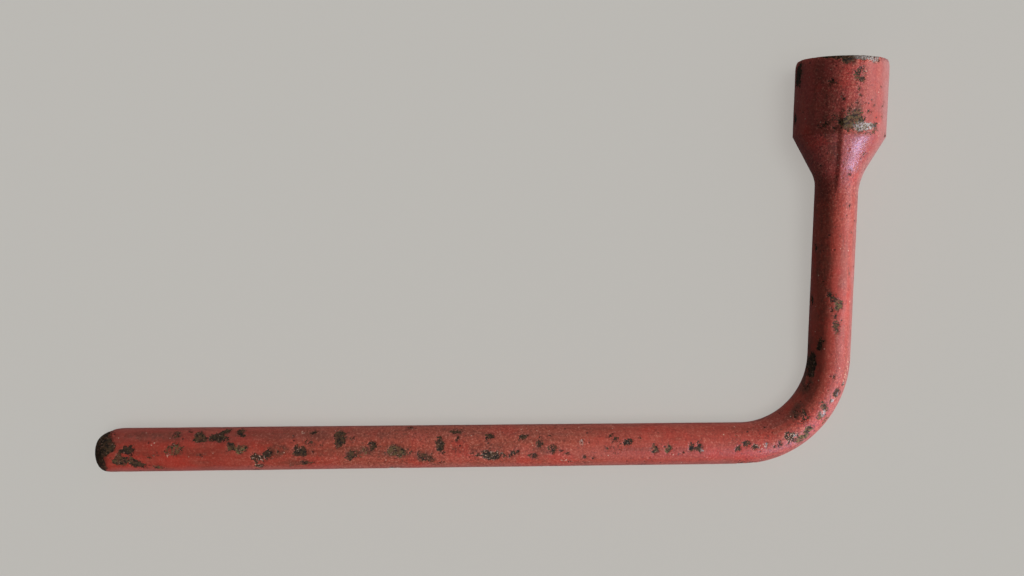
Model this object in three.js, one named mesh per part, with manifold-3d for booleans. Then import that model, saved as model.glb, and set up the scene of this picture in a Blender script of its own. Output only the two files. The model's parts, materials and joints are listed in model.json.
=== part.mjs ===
// L-shaped lug wrench: a round steel bar, bent to a right angle, with a forged hexagon socket
// butt-welded to its short arm. Millimetres, +Z up.
//
// The wrench lies on the ground on its handle and on the shoulder of its socket. The handle runs
// along X, with its free end at -X. The short arm points to +Y and rises a few degrees, because
// the socket is fatter than the bar. The origin is under the middle of the whole wrench.

import * as THREE from 'three';
import { mergeVertices } from 'three/addons/utils/BufferGeometryUtils.js';
import Module from 'manifold-3d';

// ---- Driving dimensions -------------------------------------------------------------------

const barDiameter = 19;
const handleLength = 289.1; // end face to the start of the bend
const bendRadius = 40.8; // of the bar's centreline
const cornerAngle = 90.35; // inside angle between the two arms, degrees
const armLength = 100.9; // end of the bend to the socket's shoulder

const socketDiameter = 40.4;
const barrelLength = 34; // shoulder to rim
const coneLength = 19.4; // shoulder to neck
const stubLength = 8.6; // straight neck, from the cone to the weld's root

const hexAcrossFlats = 27; // 1-1/16 inch wheel nuts
const hexDepth = 26;
const reliefDiameter = 25; // round stud clearance behind the hexagon
const reliefDepth = 34;
const reliefFloorDepth = 38; // at the tip of its conical floor
const mouthDiameter = 33.2; // lead-in chamfer, at the rim
const mouthChamferAngle = 45; // degrees from the axis

const rimRollRadial = 1.4; // the rim's outer edge is rolled over
const rimRollAxial = 4;
const endFlatRadius = 4; // flat middle of the handle's cropped end
const endRollAxial = 8;

const weldRootRadius = 5.5; // both pieces are chamfered down to this root face
const weldChamferAngle = 30; // degrees, each side of the V
const seamGap = 0.3; // clearance between neighbouring pieces

// ---- Derived dimensions -------------------------------------------------------------------

const radians = THREE.MathUtils.degToRad;
const barRadius = barDiameter / 2;
const socketRadius = socketDiameter / 2;
const bendTurn = Math.PI - radians(cornerAngle);
const bendLength = bendRadius * bendTurn;
const shoulderAt = handleLength + bendLength + armLength; // distance along the centreline
const weldAt = shoulderAt - coneLength - stubLength;
const chamferRun = (barRadius - weldRootRadius) * Math.tan(radians(weldChamferAngle));
const wedge = 0.05; // overshoot of cutting tools past the surface that they cut

const barSides = 36;
const socketSides = 48;
const bendSteps = 22;
const rollSteps = 5;

// ---- Materials ----------------------------------------------------------------------------

const paintedSteel = (name) =>
  new THREE.MeshStandardMaterial({ name, color: 0x93392f, roughness: 0.5, metalness: 0.1 });

// ---- Centreline ---------------------------------------------------------------------------

// Point and direction on the wrench's centreline, at a distance from the handle's free end,
// in the plane of the two arms.
function centreline(distance) {
  if (distance <= handleLength) {
    return { point: new THREE.Vector3(distance, 0, 0), direction: new THREE.Vector3(1, 0, 0) };
  }
  const turned = Math.min((distance - handleLength) / bendRadius, bendTurn);
  const direction = new THREE.Vector3(Math.cos(turned), Math.sin(turned), 0);
  const point = new THREE.Vector3(
    handleLength + bendRadius * Math.sin(turned),
    bendRadius * (1 - Math.cos(turned)),
    0,
  );
  const straight = Math.max(0, distance - handleLength - bendLength);
  return { point: point.addScaledVector(direction, straight), direction };
}

// Carries a straight piece, turned about the Y axis, over to the centreline: a vertex at height y
// goes to the distance y along it.
function bendToCentreline(geometry) {
  const up = new THREE.Vector3(0, 0, 1);
  const position = geometry.getAttribute('position');
  for (let i = 0; i < position.count; i += 1) {
    const { point, direction } = centreline(position.getY(i));
    const side = new THREE.Vector3().crossVectors(direction, up);
    point.addScaledVector(side, position.getX(i));
    point.z += position.getZ(i);
    position.setXYZ(i, point.x, point.y, point.z);
  }
  geometry.computeVertexNormals();
  return geometry;
}

// ---- Profiles: (radius, distance along the centreline) ------------------------------------

// A quarter of an ellipse, from the flat of an end face round to the side of a bar.
function rolledEdge(flatRadius, sideRadius, endAt, rollAxial) {
  const points = [];
  for (let step = 0; step <= rollSteps; step += 1) {
    const turn = (step / rollSteps) * (Math.PI / 2);
    const radius = flatRadius + (sideRadius - flatRadius) * Math.sin(turn);
    points.push(new THREE.Vector2(radius, endAt + rollAxial * (1 - Math.cos(turn))));
  }
  return points;
}

function barProfile() {
  const profile = [new THREE.Vector2(0, 0)];
  profile.push(...rolledEdge(endFlatRadius, barRadius, 0, endRollAxial));
  for (let step = 0; step <= bendSteps; step += 1) {
    profile.push(new THREE.Vector2(barRadius, handleLength + (step / bendSteps) * bendLength));
  }
  const rootFace = weldAt - seamGap / 2;
  profile.push(new THREE.Vector2(barRadius, rootFace - chamferRun));
  profile.push(new THREE.Vector2(weldRootRadius, rootFace));
  profile.push(new THREE.Vector2(0, rootFace));
  return profile;
}

function socketProfile() {
  const rimAt = shoulderAt + barrelLength;
  const rootFace = weldAt + seamGap / 2;
  const rim = rolledEdge(socketRadius - rimRollRadial, socketRadius, -rimAt, rimRollAxial)
    .map((point) => new THREE.Vector2(point.x, -point.y))
    .reverse();
  return [
    new THREE.Vector2(0, rootFace),
    new THREE.Vector2(weldRootRadius, rootFace),
    new THREE.Vector2(barRadius, rootFace + chamferRun),
    new THREE.Vector2(barRadius, shoulderAt - coneLength),
    new THREE.Vector2(socketRadius, shoulderAt),
    ...rim,
    new THREE.Vector2(0, rimAt),
  ];
}

// ---- Booleans -----------------------------------------------------------------------------

const wasm = await Module();
wasm.setup();

function toSolid(geometry) {
  const bare = geometry.clone();
  bare.deleteAttribute('normal');
  bare.deleteAttribute('uv');
  const merged = mergeVertices(bare, 1e-4);
  return new wasm.Manifold(new wasm.Mesh({
    numProp: 3,
    vertProperties: new Float32Array(merged.getAttribute('position').array),
    triVerts: new Uint32Array(merged.index.array),
  }));
}

function toGeometry(solid) {
  const mesh = solid.getMesh();
  const geometry = new THREE.BufferGeometry();
  geometry.setAttribute('position', new THREE.BufferAttribute(mesh.vertProperties, 3));
  geometry.setIndex(new THREE.BufferAttribute(mesh.triVerts, 1));
  geometry.computeVertexNormals();
  return geometry;
}

// ---- Sub-parts ----------------------------------------------------------------------------

// One bar: cropped and rolled end, handle, bend and arm, chamfered for the weld.
function handleBar() {
  const straight = new THREE.LatheGeometry(barProfile(), barSides);
  const mesh = new THREE.Mesh(bendToCentreline(straight), paintedSteel('bar paint'));
  mesh.name = 'handle_bar';
  return mesh;
}

// The recess, as a solid to cut away: lead-in chamfer, hexagon, round relief and conical floor.
function recessTool() {
  const rimAt = shoulderAt + barrelLength;
  const hexRadius = hexAcrossFlats / 2 / Math.cos(Math.PI / 6);
  const hexagon = new THREE.CylinderGeometry(hexRadius, hexRadius, hexDepth + wedge, 6);
  hexagon.translate(0, rimAt + wedge - (hexDepth + wedge) / 2, 0);

  const mouthRadius = mouthDiameter / 2;
  const mouthDepth = mouthRadius / Math.tan(radians(mouthChamferAngle));
  const flare = wedge * Math.tan(radians(mouthChamferAngle));
  const leadIn = new THREE.LatheGeometry([
    new THREE.Vector2(0, rimAt - mouthDepth),
    new THREE.Vector2(mouthRadius + flare, rimAt + wedge),
    new THREE.Vector2(0, rimAt + wedge),
  ], socketSides);

  const reliefRadius = reliefDiameter / 2;
  const relief = new THREE.LatheGeometry([
    new THREE.Vector2(0, rimAt - reliefFloorDepth),
    new THREE.Vector2(reliefRadius, rimAt - reliefDepth),
    new THREE.Vector2(reliefRadius, rimAt - hexDepth + wedge),
    new THREE.Vector2(0, rimAt - hexDepth + wedge),
  ], socketSides);

  return toSolid(hexagon).add(toSolid(leadIn)).add(toSolid(relief));
}

// The forged head: neck stub, cone and barrel, open at the rim.
function socketHead() {
  const body = toSolid(new THREE.LatheGeometry(socketProfile(), socketSides));
  const hollow = toGeometry(body.subtract(recessTool()));
  const mesh = new THREE.Mesh(bendToCentreline(hollow), paintedSteel('socket paint'));
  mesh.name = 'socket_head';
  return mesh;
}

// The weld: a ring that fills the V between the two chamfers, dressed flush with the bar.
function weldRing() {
  const slope = Math.tan(radians(weldChamferAngle));
  const clearance = seamGap / Math.cos(radians(weldChamferAngle)) - seamGap / 2;
  const rootRadius = weldRootRadius + clearance / slope + wedge;
  const halfWidth = (radius) => (radius - weldRootRadius) * slope - clearance;
  const profile = [
    new THREE.Vector2(rootRadius, weldAt - halfWidth(rootRadius)),
    new THREE.Vector2(barRadius, weldAt - halfWidth(barRadius)),
    new THREE.Vector2(barRadius, weldAt + halfWidth(barRadius)),
    new THREE.Vector2(rootRadius, weldAt + halfWidth(rootRadius)),
    new THREE.Vector2(rootRadius, weldAt - halfWidth(rootRadius)),
  ];
  const straight = new THREE.LatheGeometry(profile, barSides);
  const mesh = new THREE.Mesh(bendToCentreline(straight), paintedSteel('weld paint'));
  mesh.name = 'weld_ring';
  return mesh;
}

// ---- Resting position ---------------------------------------------------------------------

// Roll about the handle's axis that brings the shoulder's lowest point down to the ground.
function restingRoll() {
  const shoulder = centreline(shoulderAt);
  let low = 0;
  let high = radians(20);
  for (let step = 0; step < 60; step += 1) {
    const roll = (low + high) / 2;
    const rise = shoulder.direction.y * Math.sin(roll);
    const lowest = barRadius + shoulder.point.y * Math.sin(roll)
      - socketRadius * Math.sqrt(1 - rise * rise);
    if (lowest < 0) {
      low = roll;
    } else {
      high = roll;
    }
  }
  return (low + high) / 2;
}

const arms = new THREE.Group();
arms.add(handleBar(), weldRing(), socketHead());
arms.rotation.x = restingRoll();

const lugWrench = new THREE.Group();
lugWrench.add(arms);
lugWrench.updateMatrixWorld(true);
const box = new THREE.Box3().setFromObject(lugWrench, true);
arms.position.set(-(box.min.x + box.max.x) / 2, -(box.min.y + box.max.y) / 2, -box.min.z);

export default lugWrench;
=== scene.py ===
"""A worn red lug wrench lying on a pale floor, seen from almost straight above.

The bar, the weld and the forged head are each a dense skin. A skin is drawn straight, in
millimetres, as rings round an axis. It gets its wear there, and is then bent to the centreline.
The paint is a film with real thickness: where it has chipped off, the skin drops to pitted steel.
The same field that shapes a chip is stored on the mesh, for the material to colour it.
"""
import json
import math

import bpy
import numpy as np
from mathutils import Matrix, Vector


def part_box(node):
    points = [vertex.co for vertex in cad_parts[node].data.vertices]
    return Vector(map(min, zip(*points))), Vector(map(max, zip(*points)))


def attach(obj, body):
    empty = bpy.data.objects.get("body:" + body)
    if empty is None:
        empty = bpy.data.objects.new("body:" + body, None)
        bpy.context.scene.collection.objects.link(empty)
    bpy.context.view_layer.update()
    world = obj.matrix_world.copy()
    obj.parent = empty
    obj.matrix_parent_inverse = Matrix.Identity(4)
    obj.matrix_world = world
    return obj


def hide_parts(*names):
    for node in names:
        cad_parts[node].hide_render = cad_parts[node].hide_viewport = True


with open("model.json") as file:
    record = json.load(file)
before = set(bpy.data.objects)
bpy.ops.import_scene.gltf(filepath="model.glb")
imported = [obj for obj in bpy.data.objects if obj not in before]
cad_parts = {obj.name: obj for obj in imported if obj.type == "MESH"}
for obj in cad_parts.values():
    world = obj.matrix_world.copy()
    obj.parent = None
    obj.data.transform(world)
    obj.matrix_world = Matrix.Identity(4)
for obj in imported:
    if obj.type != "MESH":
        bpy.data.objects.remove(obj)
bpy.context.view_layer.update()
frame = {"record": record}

# ---- Sizes, in millimetres, as the CAD model has them -----------------------------------

MM = 0.001
BAR_RADIUS = 9.5
HANDLE_LENGTH = 289.1
BEND_RADIUS = 40.8
ARM_LENGTH = 100.9

SOCKET_RADIUS = 20.2
BARREL_LENGTH = 34.0
CONE_LENGTH = 19.4
STUB_LENGTH = 8.6
HEX_APOTHEM = 13.5
HEX_DEPTH = 26.0
RELIEF_RADIUS = 12.5
RELIEF_DEPTH = 34.0
RELIEF_FLOOR_DEPTH = 38.0
MOUTH_RADIUS = 16.6
RIM_ROLL_RADIAL = 1.4
RIM_ROLL_AXIAL = 4.0
END_FLAT_RADIUS = 3.0
END_ROLL = 8.5  # how far the end's edge is rolled, along the bar
END_ROLL_SWING = 3.5  # that much further on the inner side, and less on the outer
WELD_ROOT_RADIUS = 5.5
WELD_HALF_WIDTH = 2.46
WELD_ROOT_GAP = 0.15  # half the gap between the bar's root face and the head's
WELD_TIP_RADIUS = 6.0  # where the weld's own V ends
WELD_TIP_HALF_WIDTH = 0.1

# ---- Fineness of the skins, in millimetres between rows and in sides round the axis ------

BAR_SIDES = 116
HEAD_SIDES = 312
BAR_SPACING = 0.52
WELD_SPACING = 0.45
HEAD_SPACING = 0.42
RIM_SPACING = 0.4
RELIEF_SPACING = 0.5
GROOVE_SPACING = 1.2
WELD_FLANK_SPACING = 0.9
POLE_RADIUS = 0.6  # the smallest ring, which closes on one point
SHARP_EDGE_ANGLE = math.radians(48)

# ---- Placement, from the frame ----------------------------------------------------------

mounts = {mount["name"]: mount for mount in frame["record"]["mounts"]}
HANDLE_AXIS = -Vector(mounts["handle_end"]["axis"]).normalized()
SOCKET_AXIS = Vector(mounts["socket_rim"]["axis"]).normalized()
ARMS_UP = HANDLE_AXIS.cross(SOCKET_AXIS).normalized()
ARMS_INWARD = ARMS_UP.cross(HANDLE_AXIS)
bar_low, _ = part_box("handle_bar")
HANDLE_END = bar_low + Vector((0, BAR_RADIUS * MM, BAR_RADIUS * MM))

BEND_TURN = HANDLE_AXIS.angle(SOCKET_AXIS)
BEND_LENGTH = BEND_RADIUS * BEND_TURN
ARM_START = HANDLE_LENGTH + BEND_LENGTH
SHOULDER = HANDLE_LENGTH + BEND_LENGTH + ARM_LENGTH
RIM = SHOULDER + BARREL_LENGTH
NECK = SHOULDER - CONE_LENGTH
WELD = NECK - STUB_LENGTH

# ---- Repeatable noise -------------------------------------------------------------------


def lattice(cells, seed):
    """A repeatable random number from 0 to 1 for each whole-number cell."""
    mixed = cells[..., 0] * 73856093 ^ cells[..., 1] * 19349663 ^ cells[..., 2] * 83492791
    mixed = ((mixed ^ seed * 2654435761) & 0xFFFFFFFF).astype(np.uint32)
    for shift, factor in ((16, 0x7FEB352D), (15, 0x846CA68B), (16, 1)):
        mixed ^= mixed >> np.uint32(shift)
        mixed *= np.uint32(factor)
    return mixed / 2.0**32


def noise(points, feature, seed):
    """Smooth noise from -1 to 1, with bumps about as far apart as feature."""
    scaled = points / feature
    cells = np.floor(scaled).astype(np.int64)
    part = scaled - cells
    part = part * part * part * (part * (part * 6 - 15) + 10)
    total = 0.0
    for corner in np.ndindex(2, 2, 2):
        weight = np.prod(np.where(corner, part, 1 - part), axis=-1)
        total = total + weight * lattice(cells + np.array(corner), seed)
    return total * 2 - 1


def rough(points, feature, seed, octaves=3):
    """Noise with finer and fainter octaves on top."""
    total = 0.0
    for octave in range(octaves):
        total = total + noise(points, feature / 2**octave, seed + octave) / 2**octave
    return total / 1.5


def specks(points, feature, seed, share):
    """Distance to the nearest of some scattered points, one in each kept cell."""
    scaled = points / feature
    cells = np.floor(scaled).astype(np.int64)
    nearest = np.full(points.shape[:-1], 9.0)
    for step in np.ndindex(3, 3, 3):
        cell = cells + np.array(step) - 1
        centre = np.stack([lattice(cell, seed + axis) for axis in range(3)], axis=-1)
        away = np.linalg.norm(cell + centre - scaled, axis=-1)
        away = np.where(lattice(cell, seed + 3) < share, away, 9.0)
        nearest = np.minimum(nearest, away)
    return nearest * feature


def ramp(value, low, high):
    """0 below low, 1 above high, smooth between."""
    part = np.clip((value - low) / (high - low), 0, 1)
    return part * part * (3 - 2 * part)


def stretch(along, start, full, fading, end):
    """1 from full to fading, 0 before start and past end, smooth between."""
    return ramp(along, start, full) * (1 - ramp(along, fading, end))


# ---- Skins: rings of points round a straight axis ---------------------------------------


def turned_from(angles, angle):
    """Signed turn from an angle, from minus half a turn to half a turn."""
    return (angles - angle + math.pi) % (2 * math.pi) - math.pi


def angles_round(sides):
    """Angles round the axis: 0 is up, and a quarter turn is the inside of the bend."""
    return np.arange(sides) * (2 * math.pi / sides)


def evenly(corners, spacing):
    """The corners of a profile, with points between them no further apart than spacing."""
    points = [np.array(corners[0], float)]
    for start, end in zip(corners, corners[1:]):
        start, end = np.array(start, float), np.array(end, float)
        steps = max(1, math.ceil(np.linalg.norm(end - start) / spacing))
        points += [start + (end - start) * step / steps for step in range(1, steps + 1)]
    return points


def rings(profile, angles):
    """Points (along, inward, up) for rows of (radius, along), either one number or one per angle."""
    rows = []
    for radius, along in profile:
        radius = np.broadcast_to(radius, angles.shape)
        along = np.broadcast_to(along, angles.shape)
        rows.append(np.stack([along, radius * np.sin(angles), radius * np.cos(angles)], axis=-1))
    return np.array(rows)


def outward(points):
    """Unit normals of a grid of rings."""
    down_rows = np.gradient(points, axis=0)
    round_rings = np.roll(points, -1, axis=1) - np.roll(points, 1, axis=1)
    normals = np.cross(down_rows, round_rings)
    return normals / np.maximum(np.linalg.norm(normals, axis=-1, keepdims=True), 1e-9)


def bent(points):
    """Carries straight points over to the wrench's centreline, in metres, in the row frame."""
    along, inward, up = points[..., 0], points[..., 1], points[..., 2]
    turned = np.clip((along - HANDLE_LENGTH) / BEND_RADIUS, 0, BEND_TURN)
    straight = np.maximum(along - HANDLE_LENGTH - BEND_LENGTH, 0)
    ahead = np.minimum(along, HANDLE_LENGTH) + BEND_RADIUS * np.sin(turned)
    ahead = ahead + straight * math.cos(BEND_TURN) - inward * np.sin(turned)
    aside = BEND_RADIUS * (1 - np.cos(turned)) + straight * math.sin(BEND_TURN)
    aside = aside + inward * np.cos(turned)
    axes = np.array([HANDLE_AXIS, ARMS_INWARD, ARMS_UP])
    local = np.stack([ahead, aside, up], axis=-1)
    return local @ axes * MM + np.array(HANDLE_END)


def skin_object(name, points, fields, material, poles=True):
    """A closed mesh from rings. With poles, the first and last rings close on one point each."""
    rows, sides = points.shape[:2]
    spots = bent(points).reshape(-1, 3)
    index = np.arange(rows * sides).reshape(rows, sides)
    above, below = (index[:-1], index[1:]) if poles else (index, np.roll(index, -1, axis=0))
    quads = np.stack([above, below, np.roll(below, -1, 1), np.roll(above, -1, 1)], axis=-1)
    faces = quads.reshape(-1, 4).tolist()
    values = {key: field.reshape(-1) for key, field in fields.items()}
    if poles:
        first, last = len(spots), len(spots) + 1
        tips = np.stack([spots[index[0]].mean(0), spots[index[-1]].mean(0)])
        spots = np.concatenate([spots, tips])
        faces += [(first, int(a), int(b)) for a, b in zip(index[0], np.roll(index[0], -1))]
        faces += [(last, int(b), int(a)) for a, b in zip(index[-1], np.roll(index[-1], -1))]
        values = {
            key: np.append(value, [value[index[0]].mean(), value[index[-1]].mean()])
            for key, value in values.items()
        }
    mesh = bpy.data.meshes.new(name)
    mesh.from_pydata(spots.tolist(), [], faces)
    for key, value in values.items():
        attribute = mesh.attributes.new(key, "FLOAT", "POINT")
        attribute.data.foreach_set("value", value.astype(np.float32))
    mesh.shade_smooth()
    mesh.set_sharp_from_angle(angle=SHARP_EDGE_ANGLE)
    mesh.materials.append(material)
    mesh.update()
    piece = bpy.data.objects.new(name, mesh)
    bpy.context.scene.collection.objects.link(piece)
    return piece


# ---- Wear ------------------------------------------------------------------------------

# Chips in the paint, each as (distance along the centreline from the handle's end, distance
# across from the line that faces the viewer, length along, width across, turn in degrees,
# share of the chip that is really bare, tone). Across is positive towards the inside of the bend.
# Tone goes from 0 for black scale to 1 for olive grey. Below 0 it is black scale with pale dust.
HANDLE_CHIPS = (
    (15.3, -1.0, 4.6, 5.4, 0, 1, 0), (13.9, -4.4, 8.4, 4.6, 0, 1, 0.6),
    (19.3, -6.5, 7.4, 3.2, -12, 1, 0.3), (27.3, -7.7, 4.9, 2, -8, 0.6, 0.8),
    (24.2, -3.5, 1.7, 1.6, 0, 1, 0.1), (26.5, -2.5, 2.2, 0.9, 15, 1, 0.1),
    (34.7, -0.2, 7, 4.8, 0, 0.5, 0.8), (35.3, 6.4, 3, 2.8, 0, 0.7, 0.3),
    (40.9, 7.4, 1.3, 0.8, 0, 1, 0), (45.5, 4.5, 5, 5.2, 0, 1, 0.5), (46.5, -2.8, 1.6, 0.7, 0, 1, 0),
    (52.8, 4.7, 6, 3.8, 0, 1, 0.1), (56, 7.4, 5.5, 2.6, 35, 1, 0.4), (57.4, 4.1, 1, 1.1, 0, 1, 0),
    (62.3, 7.2, 3.6, 4.2, 0, 0.9, 0.2), (63.9, 5.4, 2, 1.2, 0, 1, 0),
    (59, 0.6, 4.5, 4.4, 0, 1, 0.6), (62.6, -0.8, 5.6, 4, 0, 0.95, 1),
    (70.3, -4.4, 5.6, 4.6, 0, 0.95, -0.5), (71, -7.8, 4.6, 3.6, 0, 0.95, -0.5),
    (69.2, -9.2, 2.6, 1.4, 0, 1, 0), (75.1, -2.2, 4.6, 3.2, 0, 1, 0), (80, -1.5, 5, 4, 0, 0.2, 0.8),
    (88.9, -1.8, 6.6, 4.2, 0, 1, 0.2), (91.2, -6.7, 6, 2.4, 6, 0.9, 0.6),
    (85.3, -7.7, 2, 1.3, 0, 1, 0.4), (94.5, 6.7, 3, 1.7, 25, 1, 0.2),
    (92.5, 2, 3.2, 1.8, -20, 0.5, 0.2), (98, 1.4, 1, 0.7, 0, 1, 0), (85.6, 5.2, 0.8, 0.8, 0, 1, 0),
    (106.3, 3.9, 5.4, 6.4, 0, 1, 0.4), (111.2, 3.9, 2.6, 1.8, 0, 1, 0),
    (110.4, -3.4, 4.2, 4.4, 0, 1, 0.4), (112.3, -4, 2.4, 1.4, 0, 1, 0.1),
    (120.1, 0.8, 3.9, 3.9, 0, 1, 0.1), (116.1, -2.4, 6, 3.4, 0, 0.22, 0.9),
    (129.8, -2, 12, 4.6, 6, 0.9, 0.7), (125.7, -2.6, 2.6, 2.4, 0, 1, 0),
    (136.8, 8.4, 2.2, 1.8, 0, 1, 0), (140.3, -2.6, 1.6, 1.4, 0, 0.8, 0.2),
    (144.1, -5.1, 7, 3.6, -15, 0.95, 0.5), (149.9, 0.6, 4, 6, 0, 1, 0.3),
    (151.7, -2.8, 2.4, 1.7, 0, 1, 0.1), (157.2, 6.5, 4.4, 2.6, 0, 1, 0.3),
    (157.6, 3.1, 1.3, 2.6, -15, 1, 0), (151.3, -6.7, 1.5, 1, 0, 1, 0.2),
    (156.1, -0.9, 2.6, 1.6, 0, 0.3, 0.3), (146.7, -2.9, 1.4, 0.8, 0, 1, 0.1),
    (171.9, -3.9, 11.5, 5.2, 0, 1, -0.25), (176.3, -3.6, 4, 1.8, 0, 1, -0.3),
    (179, -3.6, 1.3, 0.8, 0, 1, 0), (182.8, -3.5, 4, 3.6, 0, 1, 0.1),
    (171.5, 4, 3.3, 2.9, 0, 0.9, 0.3), (187.5, 3.8, 4, 2.8, 0, 1, 0.2),
    (193.8, 0.9, 3.3, 3.3, 0, 0.9, 0.4), (191.5, -4.6, 3.2, 2.6, 0, 1, 0.3),
    (200.1, -2.2, 3.4, 3.8, 0, 0.8, 0.4), (204, -2.8, 3.2, 0.9, -25, 1, 0.2),
    (206.6, -3.8, 1.5, 1, 0, 1, 0.2), (199.3, 3.9, 1, 1, 0, 1, 0.2),
    (214.8, -5.4, 1.8, 2.2, 0, 1, 0.2), (214.6, -7.9, 2, 1, 0, 1, 0.2), (218.5, -6, 1, 1, 0, 1, 0),
    (208.7, -7.5, 3, 0.8, -12, 1, 0), (213.5, 1.3, 1.8, 2.4, 0, 0.25, 0.3),
    (226.5, 3.8, 1.8, 1.3, 20, 1, 0.2), (228.8, 2.7, 1.9, 1.5, 0, 1, 0.2),
    (233.9, 0.9, 3.4, 3, 0, 0.95, 0), (228.2, -1.6, 7, 4.2, 0, 0.1, 0.4),
    (239.7, 2.7, 0.9, 0.9, 0, 1, 0.1), (247.1, -2.4, 3.3, 3.7, 0, 0.95, 0.6),
    (252.7, -2.4, 3.2, 3.5, 0, 1, 0.9), (259.1, -4.2, 1.8, 0.9, 15, 1, 0.1),
    (263.5, -2.1, 2.5, 3.6, 0, 0.9, 0.6), (266.9, -1.9, 2.6, 4, 0, 0.9, 0.3),
    (241.2, -9.1, 4, 0.9, 0, 0.8, 0.2), (285.3, -2.7, 2.8, 2.2, 20, 0.95, 0.4),
    (284.5, 3, 4, 3.4, 0, 0.15, 0.3),
)
BEND_CHIPS = (
    (288.7, -0.6, 2.4, 2.8, 0, 0.9, 0.3), (293.3, -2, 2.8, 1.7, 0, 0.7, -0.4),
    (298.1, -2.6, 1.1, 3.2, -12, 1, 0), (297.9, -5, 0.9, 1, 0, 1, 0),
    (300.6, 5.5, 1.5, 1.4, 0, 1, 0), (301.2, 9.2, 1.3, 1, 0, 1, 0),
    (304.4, -3.9, 2, 3.2, 20, 0.9, 0.1), (301.7, -4.2, 1.4, 0.8, 0, 1, 0.1),
    (307.6, -5.9, 1.2, 1, 0, 1, 0.1), (310.5, -3.8, 5, 4, 0, 0.8, -0.5),
    (315.2, -7.2, 5.4, 2.8, -6, 1, 1), (318.7, -6.2, 5, 3.6, 0, 1, 1),
    (320.2, 0.6, 8, 7.5, 0, 0.45, 0.1), (326.3, -6, 5.4, 5, 0, 0.95, 0.8),
    (330.3, -4.9, 5.4, 5.6, 0, 0.9, 0.7), (326.9, -8.6, 3.4, 1.6, 0, 0.9, 0.9),
    (334.1, -6.2, 2.4, 1.6, -20, 0.9, 0.1), (338.2, -7, 3.2, 3.8, 0, 0.9, 0.4),
    (342.8, -8.3, 1.4, 1.4, 0, 1, 0.3), (344.6, -3.5, 1.5, 1.2, 0, 1, 0),
    (348.2, 7.2, 12, 4.8, 0, 1, 0.1), (348.6, 9.2, 13, 3.4, 0, 1, 0), (343.2, 6, 4, 2.4, 0, 1, 0.2),
    (335.8, 6.5, 6, 3, 0, 0.3, 0.1), (288.7, -8.7, 5, 0.9, 0, 0.8, 0.3),
)
ARM_CHIPS = (
    (358.6, 4.3, 3.2, 2.6, 0, 1, 0), (361.2, 3.6, 2.2, 3, 0, 0.6, 0.4),
    (368.1, -2.3, 5.4, 2.6, 0, 0.95, 0.7), (372.6, -1.9, 2.2, 1.2, 0, 1, 0.5),
    (375.7, -0.6, 1.8, 1.3, 0, 1, 0.2), (377.5, -2.9, 4, 3.8, 0, 0.95, 0.8),
    (380.3, -0.8, 3.2, 2.2, 0, 0.95, 0.4), (382.1, 0.9, 2.2, 2, 0, 0.95, 0.4),
    (388.1, 3.7, 1.3, 1.3, 0, 1, 0.1), (379.1, 8.3, 3, 1.6, 0, 1, 0),
    (403.3, 7.7, 2.6, 1.2, 0, 1, 0), (392.4, -7.1, 2.6, 0.9, 8, 0.9, 0.8),
    (422.8, -6, 1.3, 1.2, 0, 1, 0.3), (431.3, -6.7, 1.6, 1.4, 0, 0.5, 0.3),
    (411, -7, 1, 0.8, 0, 1, 0.3), (409.1, -3, 0.8, 0.8, 0, 1, 0.2),
)
HEAD_CHIPS = (
    (487.4, -2.2, 3.4, 9.6, 0, 1, 0.3), (485.7, -2.4, 3.4, 5.2, 0, 1, 0.4),
    (480.9, 18.4, 9.8, 6.6, 0, 1, 0), (461.3, 19.2, 5.6, 4, 0, 1, 0),
    (481.2, -7.5, 2.6, 4.2, 12, 0.95, 0.5), (478.9, -6.4, 3.4, 2.2, 20, 0.85, 0.7),
    (477.4, -8.7, 2.9, 2.8, -30, 0.9, 0.6), (473.1, -7.3, 1.4, 0.8, 0, 0.7, 0.7),
    (470.6, -8.1, 1, 1.1, 0, 0.8, 0.5), (476.1, 4.1, 2.6, 3, 0, 0.95, 0.1),
    (468.9, -1.4, 2.8, 1.7, 20, 1, 0), (463.5, -11.9, 1.4, 2.8, 0, 0.7, 0.6),
    (458.5, -2.8, 7, 5, 0, 1, 0.7), (459.9, -6.6, 6, 8.4, 0, 0.9, 0.8),
    (457.1, -9.2, 4.8, 13.5, 0, 1, 0.8), (456.8, -14.6, 4, 3.6, 0, 0.8, 0.5),
    (454.6, -11, 1.2, 8, 0, 0.8, 0.1), (456.4, 2.4, 1.5, 2.5, 0, 0.6, 0.2),
    (457.4, 6.4, 1.5, 1.5, 0, 0.6, 0.2), (454.3, -19.6, 1.6, 1.6, 0, 1, 0.2),
    (467.1, -10.3, 1, 1, 0, 1, 0.3), (467.2, -6.8, 1, 0.8, 0, 1, 0.3),
    (466.7, -13.9, 1, 1, 0, 1, 0.3), (474.7, -16.8, 1, 1, 0, 1, 0.3),
    (466.7, -17.8, 1.2, 1, 0, 0.8, 0.3), (461.7, -17.6, 2, 0.8, 0, 0.5, 0.8),
    (437.4, -5.1, 2, 1.6, 0, 0.6, 0.5), (445.7, -11.3, 1.2, 1.2, 0, 0.8, 0.3),
    (462, -5.6, 5.4, 9, 0, 0.4, 0.7), (457.7, 2, 7, 11, 0, 0.14, 0.3),
    (486.8, -11.4, 2.8, 9.5, 0, 0.9, 0.6),
)
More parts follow.
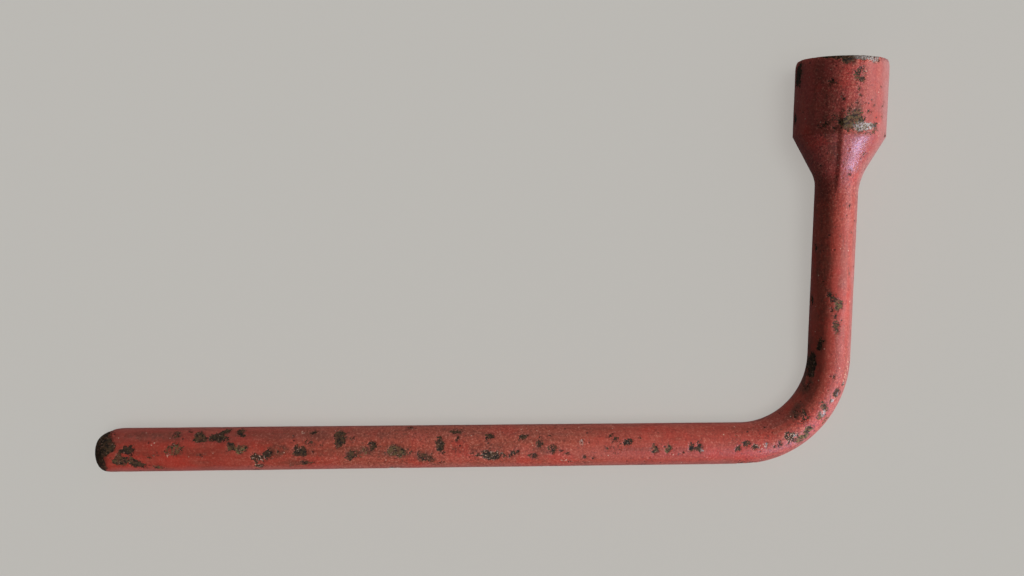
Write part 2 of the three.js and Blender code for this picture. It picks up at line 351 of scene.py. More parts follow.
# Where the steel in a chip is rubbed bright and pale crumbs lie on the paint next to it:
# distance along, distance across, size along, size across.
BRIGHT_SPOTS = (
    (457.2, -10.6, 4.4, 10.0), (487.2, -12, 4.6, 12), (327.9, -5.7, 1.7, 1.4),
    (338, -7.6, 1.8, 1.2), (268.7, -3, 2.4, 2.4), (297, -2.6, 7, 2.4), (213.4, 1.8, 2.6, 4.4),
    (312.3, -4.4, 2.2, 1.6), (32.7, -2.8, 1.8, 1.8), (89.8, 6.8, 2, 1.6), (206.5, -6.6, 6, 1.6),
    (217.6, -7.6, 2, 2), (228, 8, 1, 4), (328.2, -5.8, 3.4, 3), (335, -6.8, 3, 2.4),
    (347.7, -8.4, 10, 2.6),
)
# Where dirt has browned the paint, and along the bend's inner edge painted shade where the
# window's light doesn't reach: distance along, distance across, size along, size across, strength.
GRIME_AND_SHADE_PATCHES = (
    (26.7, 5.5, 42, 7, 0.5), (34.7, -0.2, 9, 5, 0.8), (36.7, -1, 60, 5, 0.3),
    (79.7, -1, 11, 6, 0.9), (90.7, -6, 16, 5, 0.5), (96.7, 5, 14, 5, 0.4), (115.7, -1.5, 13, 6, 1),
    (112.7, -2, 80, 6, 0.4), (128.7, -2, 14, 7, 0.7), (143.7, -5, 10, 6, 0.8),
    (168.7, -1, 40, 6, 0.4), (196.7, -2, 20, 6, 0.5), (319.7, 3, 13, 9, 0.9),
    # The patches at 346 and 350.7 along are painted shade on the bend's inner edge.
    (336.7, 6, 14, 7, 0.95), (346, 8.4, 40, 8, 1), (330, 2, 28, 8, 0.35), (350.7, 7, 16, 6, 0.8),
    (378.7, 2, 12, 5, 0.5), (390.7, 4, 110, 9, 0.5), (447.2, 2, 20, 6, 0.6),
    (458.2, 4, 16, 12, 0.6), (463.2, -6, 9, 9, 0.9), (471.2, 4, 20, 12, 0.4),
    (485.2, -4, 5, 8, 0.7),
)
# How grainy the paint is, from 0 to 1, at places along the centreline.
GRAIN_PLACES = (0, 60, 120, 180, 230, 280, 300, 320, 345, 372, 410, 432)
GRAIN_SHARES = (0.3, 0.45, 1.0, 1.0, 0.62, 0.62, 1.0, 1.0, 0.75, 0.5, 0.5, 1.0)
HIDDEN_CHIP_COUNT = 150
HIDDEN_SEED = 11
FILM = 0.2  # paint thickness
HANDLE_LEAN = math.radians(14.4)  # from straight up to the line that faces the viewer
ARM_LEAN = math.radians(23.4)
LEAN_CHANGE_LENGTH = 34  # how far past the handle's straight the one turns into the other
SLICK_ANGLE = ARM_LEAN - 0.54  # the smooth band on the cone, in radians from straight up
SLICK_WIDTH = 0.3


def lean(along):
    """Angle of the line that faces the viewer, at a distance along the centreline."""
    change = ramp(along, HANDLE_LENGTH, HANDLE_LENGTH + LEAN_CHANGE_LENGTH)
    return HANDLE_LEAN + (ARM_LEAN - HANDLE_LEAN) * change


def hidden_chips():
    """Chips for the sides that face away from the viewer, like the others in size and spread."""
    dice = np.random.default_rng(HIDDEN_SEED)
    chips = []
    for _ in range(HIDDEN_CHIP_COUNT):
        along = RIM * dice.random() ** 1.15
        length = 1.2 + 7.5 * dice.random() ** 2.4
        width = length * (0.4 + 0.6 * dice.random())
        angle = lean(along) + math.radians(dice.uniform(88, 272))
        turn, share, tone = dice.uniform(-40, 40), dice.uniform(0.5, 1), dice.uniform(0, 0.8)
        chips.append((along, angle, length, width, turn, share, tone))
    return chips


def angle_at(along, across, radius_at):
    """Angle round the axis of a place that is given by its distance across."""
    return lean(along) + math.asin(max(-1, min(1, across / radius_at(along))))


def seen_chips(chart, radius_at):
    """The chart's chips with their angle round the axis in place of the distance across."""
    return [(along, angle_at(along, across, radius_at), *rest) for along, across, *rest in chart]


def offsets(points, angles, along, angle):
    """How far each point is from a place on the skin: along it, and round it, in millimetres."""
    radius = np.hypot(points[..., 1], points[..., 2])
    return points[..., 0] - along, radius * turned_from(angles, angle)


def chipped(points, angles, chips):
    """How far inside a chip each point is, in millimetres, positive on bare steel, and its tone."""
    coarse = rough(points, 3.0, 21)
    fine = rough(points, 1.2, 31)
    grain = rough(points, 0.9, 41)
    depth = np.full(points.shape[:2], -3.0)
    tones = np.full(points.shape[:2], 0.3)
    for along, angle, length, width, turn, share, tone in chips:
        reach = length + width + 3
        rows = np.flatnonzero(np.abs(points[:, 0, 0] - along) < reach)
        if not len(rows):
            continue
        near = slice(rows[0], rows[-1] + 1)
        ahead, aside = offsets(points[near], angles, along, angle)
        tilt = math.radians(turn)
        longways = ahead * math.cos(tilt) + aside * math.sin(tilt)
        sideways = aside * math.cos(tilt) - ahead * math.sin(tilt)
        half = min(length, width) / 2
        inside = half * (1.05 - np.hypot(longways / (length / 2), sideways / (width / 2)))
        inside = inside + 0.7 * min(half, 2.4) * coarse[near] + 0.75 * min(half, 1.3) * fine[near]
        if share < 1:
            inside = np.minimum(inside, 1.1 * (grain[near] + 1.3 * share - 0.55))
        nearer = inside > depth[near]
        depth[near] = np.where(nearer, inside, depth[near])
        tones[near] = np.where(nearer, tone, tones[near])
    return depth, tones


def spotted(points, angles, spots, radius_at):
    """How bright the bare steel is, from 0 to 1."""
    shine = np.zeros(points.shape[:2])
    ragged = 0.5 * rough(points, 1.6, 61)
    for along, across, length, width in spots:
        ahead, aside = offsets(points, angles, along, angle_at(along, across, radius_at))
        away = np.hypot(ahead / length, aside / width) * 2
        shine = np.maximum(shine, ramp(1.2 - away + ragged, 0, 0.6))
    return shine


def soiled_and_shaded(points, angles, patches, radius_at):
    """How dirty the paint is, from 0 to 1, with painted shade along the bend's inner edge."""
    soil_and_shade = np.zeros(points.shape[:2])
    ragged = 0.35 * rough(points, 4.0, 66)
    for along, across, length, width, strength in patches:
        ahead, aside = offsets(points, angles, along, angle_at(along, across, radius_at))
        away = np.hypot(ahead / length, aside / width) * 2
        soil_and_shade = np.maximum(soil_and_shade, strength * ramp(1.15 - away + ragged, 0, 0.8))
    return soil_and_shade


def outerness(points, angles):
    """1 on the outer side of the bend as the viewer sees it, 0 in the middle, -1 inside."""
    return -np.sin(angles - lean(points[..., 0]))


def painted_edge_sheen(points, angles):
    """Painted sheen that pales the paint's edge on the outer side, most of all on the arm and head.

    It stands in for the bright floor reflected at grazing angles on the lit side. The handle's inner
    side has a little too, and so has a band beside the cone's smooth one, for the glint's spread.
    """
    along = points[..., 0]
    outer = outerness(points, angles)
    past_bend = ramp(along, HANDLE_LENGTH, ARM_START)
    strength = 0.4 + 0.3 * past_bend + 0.3 * ramp(along, WELD, NECK)
    inner_strength = 0.2 * (1 - past_bend)
    patchy = 0.06 * rough(points, 6, 68)
    outer_edge = strength * ramp(outer + patchy, 0.72, 1.0)
    inner_edge = inner_strength * ramp(patchy - outer, 0.66, 1.0)
    on_cone = stretch(along, NECK, NECK + 6, SHOULDER - 1, SHOULDER + 3)
    beside_slick = 0.22 * on_cone * np.exp(-(((outer - 0.62) / 0.14) ** 2))
    return np.maximum(outer_edge + inner_edge, beside_slick)


def sandy(points, angles):
    """How grainy and sandy the paint is, from 0 to 1.

    It is least at the handle's free end and on the arm, and it fades on the bend's inner side
    and down both sides of the head.
    """
    along = points[..., 0]
    outer = outerness(points, angles)
    amount = np.interp(along, GRAIN_PLACES, GRAIN_SHARES)
    on_bend = stretch(along, HANDLE_LENGTH + 15, HANDLE_LENGTH + 35, ARM_START + 10, ARM_START + 30)
    on_head = ramp(along, NECK, SHOULDER)
    amount = amount * (1 - 0.55 * on_bend * ramp(-outer, -0.2, 0.25))
    amount = amount * (1 - 0.6 * on_head * ramp(outer, 0.3, 0.7))
    return amount * (1 - 0.45 * on_head * ramp(-outer, 0.3, 0.7))


def slick(points, angles):
    """Where the cone's paint is rubbed smooth, from 0 to 1: a band down its outer side."""
    length = stretch(points[..., 0], NECK + 1, NECK + 5, SHOULDER - 2, SHOULDER)
    return length * np.exp(-((turned_from(angles, SLICK_ANGLE) / SLICK_WIDTH) ** 2))


def bar_radius_at(along):
    """The radius that the bar's and the weld's wear is placed on: the same all along."""
    return BAR_RADIUS


def head_radius_at(along):
    """The radius that the head's wear is placed on."""
    share = np.clip((along - NECK) / CONE_LENGTH, 0, 1)
    return BAR_RADIUS + (SOCKET_RADIUS - BAR_RADIUS) * share


def weathered(points, angles, bare):
    """Moves a skin's points along their normals: waves, brush marks, pits, and the film's steps."""
    height = 0.05 * rough(points, 24, 71) + 0.03 * rough(points, 6.5, 75)
    height += 0.022 * rough(points, 1.9, 81) + 0.012 * noise(points, 0.8, 85)
    crowding = ramp(rough(points, 30, 91) + points[..., 0] / RIM, 0.1, 1.0)
    pits = specks(points, 2.0, 101, 0.55)
    height -= 0.15 * crowding * ramp(0.55 - pits, 0, 0.4)
    chip = ramp(bare, -0.12, 0.22)
    height -= chip * (FILM + 0.06 * rough(points, 1.1, 111))
    return points + outward(points) * height[..., None]


# ---- The three pieces ------------------------------------------------------------------


def in_groove(points):
    """True in the grooves at the weld, where no wear reaches."""
    radius = np.hypot(points[..., 1], points[..., 2])
    return (radius < BAR_RADIUS - 0.1) & (points[..., 0] > ARM_START)


def rolled_end(angles):
    """Rows for the cropped end: a flat middle, and an edge rolled further on the inner side."""
    roll = END_ROLL + END_ROLL_SWING * np.sin(angles)
    rows = [(radius, 0.0) for radius in np.linspace(POLE_RADIUS, END_FLAT_RADIUS, 5)]
    for turn in np.linspace(0, math.pi / 2, 26)[1:]:
        radius = END_FLAT_RADIUS + (BAR_RADIUS - END_FLAT_RADIUS) * math.sin(turn)
        rows.append((radius, roll * (1 - math.cos(turn))))
    return rows


def end_wear(points, angles):
    """The paint is gone from the cropped end, further back on some sides than others."""
    radius = np.hypot(points[..., 1], points[..., 2])
    across = BAR_RADIUS * np.sin(angles - HANDLE_LEAN)
    limit = 5.4 + 2.6 * ramp(across, -3.8, -0.8) - 1.4 * ramp(across, 4, 8)
    limit = limit + 3.0 * np.exp(-(((across - 1.5) / 2.4) ** 2)) + 1.5 * rough(points, 3.0, 121)
    return np.where(radius < 6, 1.5, limit - points[..., 0])


def wear(points, angles, chart, radius_at):
    """Every field that the skins carry.

    They are bare steel and its tone, rubbed steel, dirt with some painted shade, painted edge sheen,
    long streaks, smoothness and grain.
    """
    bare, tone = chipped(points, angles, seen_chips(chart, radius_at) + hidden_chips())
    drawn_out = points * np.array([0.1, 1, 1])
    return {
        "bare": bare,
        "tone": tone,
        "bright": spotted(points, angles, BRIGHT_SPOTS, radius_at),
        "soil_and_shade": soiled_and_shaded(points, angles, GRIME_AND_SHADE_PATCHES, radius_at),
        "edge_sheen": painted_edge_sheen(points, angles),
        "streak": rough(drawn_out, 2.2, 97),
        "slick": slick(points, angles),
        "sandy": sandy(points, angles),
    }


def make_bar(material):
    angles = angles_round(BAR_SIDES)
    start = rolled_end(angles)
    roll = start[-1][1]
    side_start = np.max(roll) + 1.0
    evening_rows = 8
    profile = list(start)
    for step in range(1, evening_rows + 1):
        share = step / evening_rows
        profile.append((BAR_RADIUS, roll * (1 - share) + side_start * share))
    end = WELD - WELD_HALF_WIDTH
    root = WELD - WELD_ROOT_GAP
    side = evenly([(BAR_RADIUS, side_start), (BAR_RADIUS, end)], BAR_SPACING)
    groove = evenly([(BAR_RADIUS, end), (WELD_ROOT_RADIUS, root), (POLE_RADIUS, root)], GROOVE_SPACING)
    points = rings(profile + side[1:] + groove[1:], angles)
    fields = wear(points, angles, HANDLE_CHIPS + BEND_CHIPS + ARM_CHIPS, bar_radius_at)
    fields["bare"] = np.maximum(fields["bare"], end_wear(points, angles))
    moved = weathered(points, angles, fields["bare"])
    moved = np.where(in_groove(points)[..., None], points, moved)
    return skin_object("bar_skin", moved, fields, material)


def make_weld(material):
    angles = angles_round(BAR_SIDES)
    bar_edge = (BAR_RADIUS, WELD - WELD_HALF_WIDTH)
    head_edge = (BAR_RADIUS, WELD + WELD_HALF_WIDTH)
    bar_tip = (WELD_TIP_RADIUS, WELD - WELD_TIP_HALF_WIDTH)
    head_tip = (WELD_TIP_RADIUS, WELD + WELD_TIP_HALF_WIDTH)
    outside = evenly([bar_edge, head_edge], WELD_SPACING)
    head_flank = evenly([head_edge, head_tip], WELD_FLANK_SPACING)
    bar_flank = evenly([bar_tip, bar_edge], WELD_FLANK_SPACING)
    points = rings(outside + head_flank[1:] + bar_flank[:-1], angles)
    fields = wear(points, angles, ARM_CHIPS, bar_radius_at)
    moved = weathered(points, angles, fields["bare"])
    moved = np.where(in_groove(points)[..., None], points, moved)
    return skin_object("weld_skin", moved, fields, material, poles=False)


NECK_BLEND_INNER = 1.6  # how far the cone's foot is blended, on the inside of the bend
NECK_BLEND_OUTER = 3.6
PARTING_ANGLE = math.radians(20)
PARTING_HEIGHT = 0.8


def neck_blend(points, angles):
    """Blends the cone's foot into the straight neck, more softly on the outer side."""
    across = np.sin(angles - ARM_LEAN)
    reach = NECK_BLEND_INNER + (NECK_BLEND_OUTER - NECK_BLEND_INNER) * ramp(-across, -0.4, 0.8)
    slope = (SOCKET_RADIUS - BAR_RADIUS) / CONE_LENGTH
    beside = np.abs(points[..., 0] - NECK) * slope
    share = np.clip(1 - beside / reach, 0, 1)
    height = share * share * reach / 4
    return points + outward(points) * height[..., None]


def die_line(points, angles):
    """The forging dies met a little out of line: the outer half stands proud along the line."""
    radius = np.hypot(points[..., 1], points[..., 2])
    length = stretch(points[..., 0], WELD, NECK + 2, SHOULDER + 2, RIM - 14)
    wander = 0.5 * rough(points, 5, 141)
    height = 0.0
    for line in (PARTING_ANGLE, PARTING_ANGLE + math.pi):
        beside = turned_from(angles, line) * radius + wander
        ledge = ramp(-beside, -1.7, 0.9) * np.exp(-np.maximum(-beside, 0) / 5.5)
        height = height + PARTING_HEIGHT * ledge
    return points + outward(points) * (length * height)[..., None]


def rim_wear(points, angles):
    """The rim's edge is worn bare, further down where it is knocked most."""
    across = np.sin(angles - ARM_LEAN)
    depth = RIM - points[..., 0]
    knocked = ramp(across, -0.8, -0.65) * (1 - ramp(across, 0.3, 0.55))
    reach = 0.1 + 1.7 * knocked + 0.8 * rough(points, 3.2, 131) + 1.2 * ramp(-depth, -0.3, 0.0)
    return reach - depth


def make_head(material):
    angles = angles_round(HEAD_SIDES)
    hexagon = HEX_APOTHEM / np.cos((angles + math.pi / 6) % (math.pi / 3) - math.pi / 6)
    flat_radius = SOCKET_RADIUS - RIM_ROLL_RADIAL
    start = WELD + WELD_HALF_WIDTH
    root = WELD + WELD_ROOT_GAP
    groove = evenly([(POLE_RADIUS, root), (WELD_ROOT_RADIUS, root), (BAR_RADIUS, start)], GROOVE_SPACING)
    roll_start = RIM - RIM_ROLL_AXIAL
    outline = [
        (BAR_RADIUS, start),
        (BAR_RADIUS, NECK),
        (SOCKET_RADIUS, SHOULDER),
        (SOCKET_RADIUS, roll_start),
    ]
    outside = evenly(outline, HEAD_SPACING)
    roll = [
        (flat_radius + RIM_ROLL_RADIAL * math.cos(turn), roll_start + RIM_ROLL_AXIAL * math.sin(turn))
        for turn in np.linspace(0, math.pi / 2, 14)[1:]
    ]
    rim = evenly([(flat_radius, RIM), (MOUTH_RADIUS, RIM)], RIM_SPACING)
    walls = [
        (np.maximum(hexagon, MOUTH_RADIUS - depth), RIM - depth)
        for depth in np.linspace(0, HEX_DEPTH, 66)[1:]
    ]
    shelf = [
        (hexagon + (RELIEF_RADIUS - hexagon) * share, RIM - HEX_DEPTH)
        for share in np.linspace(0, 1, 6)[1:]
    ]
    relief_outline = [
        (RELIEF_RADIUS, RIM - HEX_DEPTH),
        (RELIEF_RADIUS, RIM - RELIEF_DEPTH),
        (POLE_RADIUS, RIM - RELIEF_FLOOR_DEPTH),
    ]
    relief = evenly(relief_outline, RELIEF_SPACING)
    profile = groove + outside[1:] + roll + rim[1:] + walls + shelf + relief[1:]
    points = rings(profile, angles)
    rows = np.arange(len(points))[:, None]
    groove_rows = rows < len(groove) - 1
    outer_rows = (rows >= len(groove) - 1) & (rows < len(groove + outside[1:]))
    recess = rows >= len(groove + outside[1:] + roll + rim[1:])

    fields = wear(points, angles, HEAD_CHIPS, head_radius_at)
    depth = RIM - points[..., 0]
    # The paint reaches a ragged few millimetres into the recess, and the rest of it is bare.
    inside = np.clip((depth - 4.0) * 0.35 + 1.5 * rough(points, 2.4, 135), -2, 2)
    bare = np.maximum(fields["bare"], np.where(depth < 6, rim_wear(points, angles), -3))
    fields["bare"] = np.where(recess, inside, np.where(groove_rows, -3, bare))
    fields["bright"] = np.where(recess, 0, fields["bright"])
    shaped = np.where(outer_rows[..., None], die_line(neck_blend(points, angles), angles), points)
    moved = weathered(shaped, angles, fields["bare"])
    moved = np.where(groove_rows[..., None], points, moved)
    return skin_object("head_skin", moved, fields, material)


# ---- Materials --------------------------------------------------------------------------


class Graph:
    """Short names for adding and joining the nodes of one material."""

    def __init__(self, name):
        self.material = bpy.data.materials.new(name)
        self.material.use_nodes = True
        self.nodes = self.material.node_tree.nodes
        self.links = self.material.node_tree.links
        self.shader = self.nodes["Principled BSDF"]
        self.place = self.nodes.new("ShaderNodeTexCoord").outputs["Object"]

    def set(self, socket, value):
        if isinstance(value, bpy.types.NodeSocket):
            self.links.new(value, socket)
        else:
            socket.default_value = value

    def noise(self, feature, detail=3.0, roughness=0.55):
        """Noise from 0 to 1, with bumps a feature apart, in metres."""
        node = self.nodes.new("ShaderNodeTexNoise")
        self.set(node.inputs["Vector"], self.place)
        node.inputs["Scale"].default_value = 1 / feature
        node.inputs["Detail"].default_value = detail
        node.inputs["Roughness"].default_value = roughness
        return node.outputs["Fac"]

    def cells(self, feature):
        """Distance to the nearest of some scattered points, in units of a feature."""
        node = self.nodes.new("ShaderNodeTexVoronoi")
        self.set(node.inputs["Vector"], self.place)
        node.inputs["Scale"].default_value = 1 / feature
        return node.outputs["Distance"]

    def attribute(self, name):
        node = self.nodes.new("ShaderNodeAttribute")
        node.attribute_name = name
        return node.outputs["Fac"]

    def axis(self, letter):
        """Distance from the origin along one axis, in metres."""
        node = self.nodes.new("ShaderNodeSeparateXYZ")
        self.set(node.inputs["Vector"], self.place)
        return node.outputs[letter]

    def math(self, operation, first, second=0.0):
        node = self.nodes.new("ShaderNodeMath")
        node.operation = operation
        self.set(node.inputs[0], first)
        self.set(node.inputs[1], second)
        return node.outputs[0]

    def times(self, first, second):
        return self.math("MULTIPLY", first, second)

    def ramp(self, value, low, high, start=0.0, end=1.0):
        """Smoothly from start to end, as value goes from low to high."""
        node = self.nodes.new("ShaderNodeMapRange")
        node.interpolation_type = "SMOOTHSTEP"
        for socket, number in zip(node.inputs[:5], (value, low, high, start, end)):
            self.set(socket, number)
        return node.outputs["Result"]

    def mix(self, share, first, second):
        node = self.nodes.new("ShaderNodeMix")
        node.data_type = "RGBA"
        self.set(node.inputs["Factor"], share)
        self.set(node.inputs["A"], first)
        self.set(node.inputs["B"], second)
        return node.outputs["Result"]

    def bump(self, height, distance, normal=None):
        node = self.nodes.new("ShaderNodeBump")
        node.inputs["Distance"].default_value = distance
        self.set(node.inputs["Height"], height)
        if normal is not None:
            self.set(node.inputs["Normal"], normal)
        return node.outputs["Normal"]


def colour(red, green, blue):
    """A colour given as it looks on screen, from 0 to 255."""
    shares = [value / 255 for value in (red, green, blue)]
    linear = [((share + 0.055) / 1.055) ** 2.4 if share > 0.04 else share / 12.92 for share in shares]
    return (*linear, 1.0)


BRICK = colour(152, 56, 42)
BRICK_BROWN = colour(148, 74, 54)
BRICK_ORANGE = colour(144, 51, 37)
BRICK_COOL = colour(150, 60, 53)
BRICK_FRESH = colour(168, 50, 36)
BRICK_PALE = colour(160, 74, 58)
BRICK_DARK = colour(104, 36, 27)
BRICK_CREAM = colour(200, 134, 112)
# Painted sheen: the pale colour that the lit edges take in place of the floor they would reflect.
BRICK_SHEEN = colour(152, 106, 103)
# Brown dirt. It is also the colour of the painted shade on the bend's inner edge.
GRIME_AND_SHADE = colour(88, 50, 34)
PRIMER = colour(70, 38, 30)
SCALE_BLACK = colour(25, 16, 8)
SCALE_BROWN = colour(96, 74, 48)
SCALE_OLIVE = colour(112, 97, 63)
RUST_BROWN = colour(92, 50, 34)
BARE_METAL = colour(158, 152, 148)
DUST = colour(190, 160, 140)


def worn_paint(name, sandiness):
    """Brick-red paint over scaled steel. The mesh says where the paint is gone.

    Sandiness is how far the paint's grain stands up.
    """
    graph = Graph(name)
    # Where the paint is gone, with an edge more ragged than the mesh can draw.
    bare = graph.attribute("bare")
    tone = graph.attribute("tone")
    soil_and_shade = graph.attribute("soil_and_shade")
    edge_sheen = graph.attribute("edge_sheen")
    grit = graph.noise(0.0007, 3, 0.65)
    ragged = graph.ramp(grit, 0.25, 0.75, -0.8, 0.6)
    edge = graph.math("ADD", bare, ragged)
    chip = graph.ramp(edge, -0.04, 0.06)

    # The paint's colour along the wrench, its streaks and clouds, and then dirt and grain on it, with
    # painted shade on the bend's inner edge and a painted sheen on the lit edges.
    # Orange at the handle's free end, turning pinker towards the head, partly as a painted sheen from
    # the window.
    along = graph.ramp(graph.axis("X"), -0.17, 0.12)
    paint = graph.mix(along, BRICK_ORANGE, BRICK)
    past_end = graph.ramp(graph.axis("X"), -0.12, -0.06)
    before_bend = graph.ramp(graph.axis("X"), 0.02, 0.08, 0.6, 0.0)
    paint = graph.mix(graph.times(past_end, before_bend), paint, BRICK_BROWN)
    paint = graph.mix(graph.ramp(graph.axis("Y"), 0.02, 0.05), paint, BRICK_COOL)
    streak = graph.attribute("streak")
    paint = graph.mix(graph.ramp(streak, 0.1, 0.5, 0.0, 0.35), paint, BRICK_PALE)
    paint = graph.mix(graph.ramp(streak, -0.5, -0.1, 0.3, 0.0), paint, GRIME_AND_SHADE)
    fresh = graph.ramp(graph.noise(0.016, 3), 0.5, 0.66, 0.0, 0.6)
    paint = graph.mix(fresh, paint, BRICK_FRESH)
    cloud = graph.ramp(graph.noise(0.011, 4, 0.6), 0.5, 0.72, 0.0, 0.5)
    paint = graph.mix(cloud, paint, BRICK_PALE)
    # A painted sheen on the edges that face the light, in place of the floor's reflection.
    paint = graph.mix(edge_sheen, paint, BRICK_SHEEN)
    # Dirt smears, and painted shade along the bend's inner edge.
    smear = graph.ramp(graph.noise(0.0032, 5, 0.7), 0.3, 0.58)
    paint = graph.mix(graph.times(smear, soil_and_shade), paint, GRIME_AND_SHADE)
    round_chips = graph.ramp(bare, -1.8, 0.0, 0.0, 0.85)
    near = graph.math("MAXIMUM", round_chips, graph.times(soil_and_shade, 0.8))
    flecks = graph.ramp(graph.noise(0.0011, 3, 0.7), 0.5, 0.66)
    paint = graph.mix(graph.times(near, flecks), paint, PRIMER)
    sandy = graph.attribute("sandy")
    grain = graph.noise(0.0009, 2, 0.6)
    sand = graph.noise(0.0012, 3, 0.75)
    for speckle, tint in (
        (graph.ramp(grain, 0.34, 0.5, 0.55, 0.0), BRICK_DARK),
        (graph.ramp(grain, 0.54, 0.7, 0.0, 0.36), BRICK_CREAM),
        (graph.ramp(sand, 0.56, 0.66, 0.0, 0.7), PRIMER),
        (graph.ramp(sand, 0.32, 0.4, 0.5, 0.0), BRICK_CREAM),
    ):
        paint = graph.mix(graph.times(speckle, sandy), paint, tint)
    holes = graph.cells(0.005)
    paint = graph.mix(graph.ramp(holes, 0.06, 0.1, 0.85, 0.0), paint, SCALE_BLACK)
    dust = graph.cells(0.0047)
    paint = graph.mix(graph.ramp(dust, 0.04, 0.08, 0.8, 0.0), paint, DUST)
    crumbs = graph.noise(0.0008, 2, 0.7)
    bright = graph.attribute("bright")
    paint = graph.mix(graph.times(bright, graph.ramp(crumbs, 0.56, 0.62)), paint, DUST)

    # The steel in the chips: black scale with brown or olive on it, rust, dust and rubbed metal.
    mottle = graph.noise(0.0012, 5, 0.7)
    scale = graph.mix(graph.ramp(tone, 0.5, 1.0), SCALE_BROWN, SCALE_OLIVE)
    scaly = graph.times(graph.ramp(mottle, 0.42, 0.6), graph.ramp(tone, 0, 1, 0.35, 1.0))
    steel = graph.mix(scaly, SCALE_BLACK, scale)
    rust = graph.ramp(graph.noise(0.0016, 4, 0.6), 0.46, 0.62, 0.0, 0.8)
    rusty = graph.times(rust, graph.ramp(tone, 0, 1, 0.45, 1.0))
    steel = graph.mix(rusty, steel, RUST_BROWN)
    steel = graph.mix(graph.ramp(crumbs, 0.62, 0.7, 0.0, 0.4), steel, DUST)
    dusty = graph.times(graph.ramp(crumbs, 0.56, 0.63), graph.ramp(tone, -0.5, 0.0, 0.9, 0.0))
    steel = graph.mix(dusty, steel, DUST)
    shine = graph.times(bright, graph.ramp(grit, 0.42, 0.58))
    steel = graph.mix(shine, steel, BARE_METAL)
    graph.set(graph.shader.inputs["Base Color"], graph.mix(chip, paint, steel))

    # How rough and how metallic the surface is, and its finest relief.
    satin = graph.ramp(graph.noise(0.006, 4), 0.3, 0.7, 0.5, 0.62)
    satin = graph.math("SUBTRACT", satin, graph.ramp(graph.attribute("slick"), 0, 1, 0, 0.2))
    dull = graph.ramp(mottle, 0.3, 0.7, 0.8, 1.0)
    roughness = graph.ramp(chip, 0, 1, satin, dull)
    roughness = graph.math("SUBTRACT", roughness, graph.ramp(shine, 0, 1, 0, 0.2))
    graph.set(graph.shader.inputs["Roughness"], roughness)
    metal = graph.times(chip, graph.ramp(shine, 0, 1, 0.0, 0.5))
    graph.set(graph.shader.inputs["Metallic"], metal)
    peel = graph.bump(graph.noise(0.0013, 3, 0.6), 0.00009 + 0.00005 * sandiness)
    grains = graph.bump(grain, 0.0001 * sandiness, peel)
    dents = graph.bump(graph.ramp(holes, 0.06, 0.18), 0.00012, grains)
    graph.set(graph.shader.inputs["Normal"], dents)
    graph.shader.inputs["Specular IOR Level"].default_value = 0.32
    return graph.material


# ---- Build ------------------------------------------------------------------------------

bar = make_bar(worn_paint("bar_worn_paint", 0.8))
weld = make_weld(worn_paint("weld_worn_paint", 1.0))
head = make_head(worn_paint("head_worn_paint", 1.3))
for piece, node, slot in (
    (bar, "handle_bar", "bar_paint"),
    (weld, "weld_ring", "weld_paint"),
    (head, "socket_head", "socket_paint"),
):
    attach(piece, "root")
    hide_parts(node)

# ---- Floor, light and camera ------------------------------------------------------------

CAMERA_SENSOR = 36  # millimetres
CAMERA_LENS = 33.75
CAMERA_PLACE = (-0.0302, -0.0061, 0.4441)  # metres
CAMERA_TURNS = (-0.76, -4.88, 0.23)  # degrees
FLOOR_HALF = 6.0  # metres
BACKDROP_RADIUS = 5.9
BACKDROP_HEIGHT = 5.0
BACKDROP_SIDES = 96
WORLD_STRENGTH = 0.13


def make_floor():
    half = FLOOR_HALF
    mesh = bpy.data.meshes.new("floor")
    corners = [(-half, -half, 0), (half, -half, 0), (half, half, 0), (-half, half, 0)]
    mesh.from_pydata(corners, [], [(0, 1, 2, 3)])
    floor = bpy.data.objects.new("floor", mesh)
    graph = Graph("floor_paper")
    graph.shader.inputs["Base Color"].default_value = colour(204, 201, 195)
    graph.shader.inputs["Roughness"].default_value = 0.9
    graph.shader.inputs["Specular IOR Level"].default_value = 0.1
    mesh.materials.append(graph.material)
    bpy.context.scene.collection.objects.link(floor)
    floor.visible_diffuse = False
    floor.visible_glossy = False
    return floor


def make_backdrop():
    """A round wall far behind, as bright as the floor. It casts no light and no shadow."""
    sides = BACKDROP_SIDES
    angles = angles_round(sides)
    ring = BACKDROP_RADIUS * np.stack([np.cos(angles), np.sin(angles), 0 * angles], axis=-1)
    corners = np.concatenate([ring, ring + np.array([0, 0, BACKDROP_HEIGHT])]).tolist()
    faces = [(i, (i + 1) % sides, sides + (i + 1) % sides, sides + i) for i in range(sides)]
    mesh = bpy.data.meshes.new("backdrop")
    mesh.from_pydata(corners, [], faces)
    graph = Graph("backdrop_paper")
    graph.shader.inputs["Base Color"].default_value = (0, 0, 0, 1)
    graph.shader.inputs["Specular IOR Level"].default_value = 0
    graph.shader.inputs["Emission Color"].default_value = colour(187, 184, 179)
    graph.shader.inputs["Emission Strength"].default_value = 1
    mesh.materials.append(graph.material)
    backdrop = bpy.data.objects.new("backdrop", mesh)
    bpy.context.scene.collection.objects.link(backdrop)
    backdrop.visible_diffuse = False
    backdrop.visible_glossy = False
    backdrop.visible_shadow = False


def only_for(light, *pieces):
    """The light falls on these pieces alone."""
    group = bpy.data.collections.new(light.name + "_receivers")
    for piece in pieces:
        group.objects.link(piece)
    light.light_linking.receiver_collection = group


def make_light(name, kind, energy, tint, place, aim=(0, 0, 0), **settings):
    """A light at a place, aimed at the middle of the wrench unless told otherwise."""
    data = bpy.data.lights.new(name, kind)
    data.energy = energy
    data.color = tint
    for key, value in settings.items():
        setattr(data, key, value)
    light = bpy.data.objects.new(name, data)
    light.location = place
    light.rotation_euler = (Vector(place) - Vector(aim)).to_track_quat("Z", "Y").to_euler()
    bpy.context.scene.collection.objects.link(light)
    return light


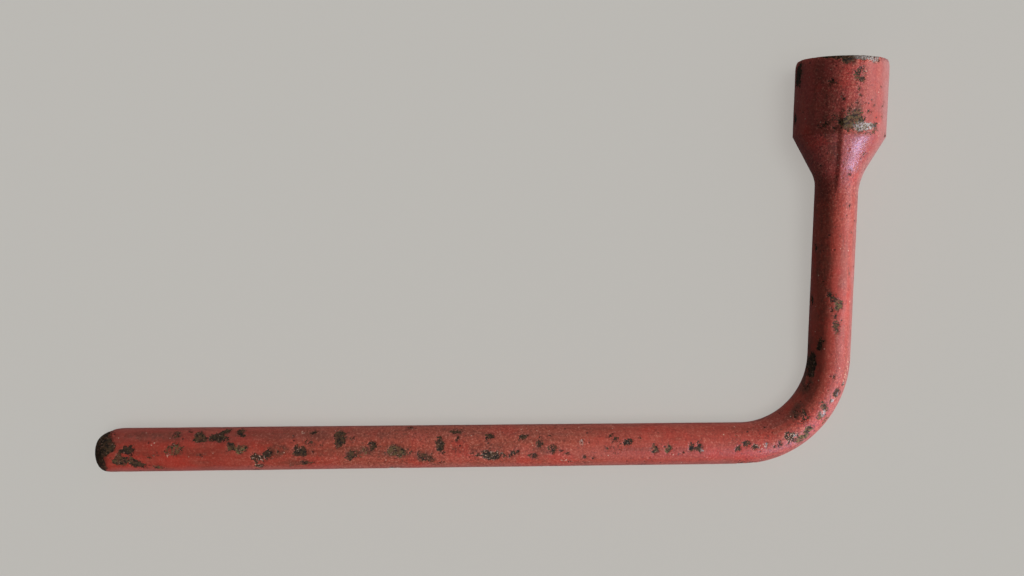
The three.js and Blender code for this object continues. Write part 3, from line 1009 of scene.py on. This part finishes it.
def make_camera():
    """The camera looks down from almost straight above, as the object was photographed."""
    data = bpy.data.cameras.new("camera")
    data.sensor_width = CAMERA_SENSOR
    data.lens = CAMERA_LENS
    camera = bpy.data.objects.new("camera", data)
    camera.location = CAMERA_PLACE
    camera.rotation_euler = [math.radians(turn) for turn in CAMERA_TURNS]
    bpy.context.scene.collection.objects.link(camera)
    bpy.context.scene.camera = camera


floor = make_floor()
make_backdrop()
# A long soft window on the head's side.
window = make_light(
    "window", "AREA", 18.2, (1.0, 0.96, 0.98), (0.8, -0.2, 0.53),
    shape="RECTANGLE", size=1.5, size_y=0.26,
)
# A soft fill from the socket's side.
fill = make_light("fill", "SUN", 1.1, (1.0, 0.99, 0.97), (-0.05, 1.0, 0.26), angle=math.radians(40))
fill.visible_glossy = False
# A light from the front, low down, for the bar alone.
kicker = make_light("kicker", "SUN", 1.2, (1.0, 0.97, 0.95), (0.0, -1.0, 0.05), angle=math.radians(30))
kicker.visible_glossy = False
# A cool light with no diffuse part: it shows as a sheen, most of all on the cone's smooth band.
glint = make_light(
    "glint", "AREA", 0.37, (0.46, 0.5, 1.0), (0.67, -0.61, 0.38), aim=(0.15, 0.03, 0.02),
    shape="RECTANGLE", size=0.1, size_y=0.25, spread=math.radians(40),
)
glint.visible_diffuse = False
for light in (window, fill, glint):
    only_for(light, bar, weld, head)
only_for(kicker, bar)
# Two lights for the floor: one casts the wrench's faint shadow, the other evens it out.
overhead = make_light("overhead", "SUN", 0.35, (1.0, 1.0, 1.0), (0, 0, 2), angle=math.radians(40))
flat = make_light("flat", "SUN", 1.85, (1.0, 1.0, 1.0), (0, 0, 2), angle=math.radians(40))
flat.data.use_shadow = False
for light in (overhead, flat):
    only_for(light, floor)
make_camera()
world = bpy.data.worlds.new("studio")
world.use_nodes = True
background = world.node_tree.nodes["Background"]
background.inputs["Color"].default_value = (0.95, 0.97, 1.0, 1)
background.inputs["Strength"].default_value = WORLD_STRENGTH
bpy.context.scene.world = world
bpy.context.scene.view_settings.view_transform = "Standard"
